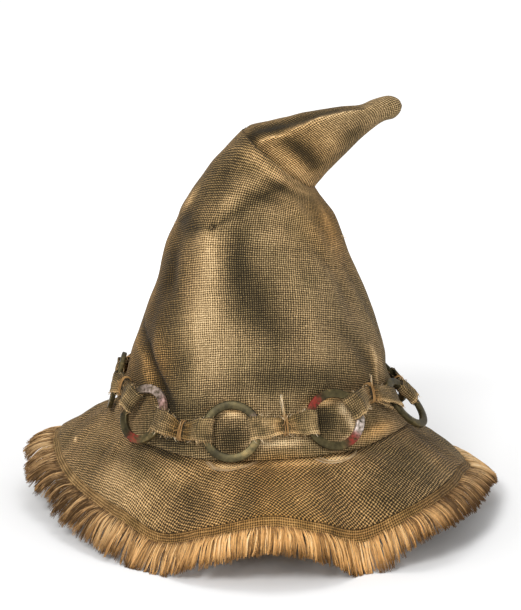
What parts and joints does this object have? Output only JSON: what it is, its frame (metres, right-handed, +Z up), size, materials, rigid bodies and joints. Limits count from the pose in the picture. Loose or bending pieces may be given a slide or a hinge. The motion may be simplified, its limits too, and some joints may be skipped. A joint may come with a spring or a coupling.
{
  "type": "scarecrow hat",
  "caption": "Tall burlap scarecrow hat with a folded-over pointed top, wavy frayed brim and a band of metal rings and tied cloth links.",
  "frame": {"origin": "middle of the surface that the hat rests on, below the middle of its whole outline", "axes": "+Z up through the crown, -Y towards the wearer's face, +X to the side that the pointed top folds to"},
  "size_m": [0.341, 0.3434, 0.2953],
  "materials": {
    "burlap": "coarse plain weave with dark sprayed patches",
    "frayed_jute": "loose jute threads",
    "ring_metal": "dull olive bronze patina, worn, flecks of red paint",
    "band_cloth": "coarse plain weave, folded double",
    "tie_thread": "twisted jute thread"
  },
  "bodies": {
    "root": {"crown": "burlap", "brim": "burlap", "fringe_trim": "frayed_jute", "ring_1": "ring_metal", "ring_2": "ring_metal", "ring_3": "ring_metal", "ring_4": "ring_metal", "ring_5": "ring_metal", "ring_6": "ring_metal", "ring_7": "ring_metal", "ring_8": "ring_metal", "ring_9": "ring_metal", "band_link_1": "band_cloth", "band_link_2": "band_cloth", "band_link_3": "band_cloth", "band_link_4": "band_cloth", "band_link_5": "band_cloth", "band_link_6": "band_cloth", "band_link_7": "band_cloth", "band_link_8": "band_cloth", "band_link_9": "band_cloth", "band_tie_1": "tie_thread", "band_tie_2": "tie_thread", "band_tie_3": "tie_thread", "band_tie_4": "tie_thread", "band_tie_5": "tie_thread", "band_tie_6": "tie_thread", "band_tie_7": "tie_thread", "band_tie_8": "tie_thread", "band_tie_9": "tie_thread"}
  },
  "joints": []
}
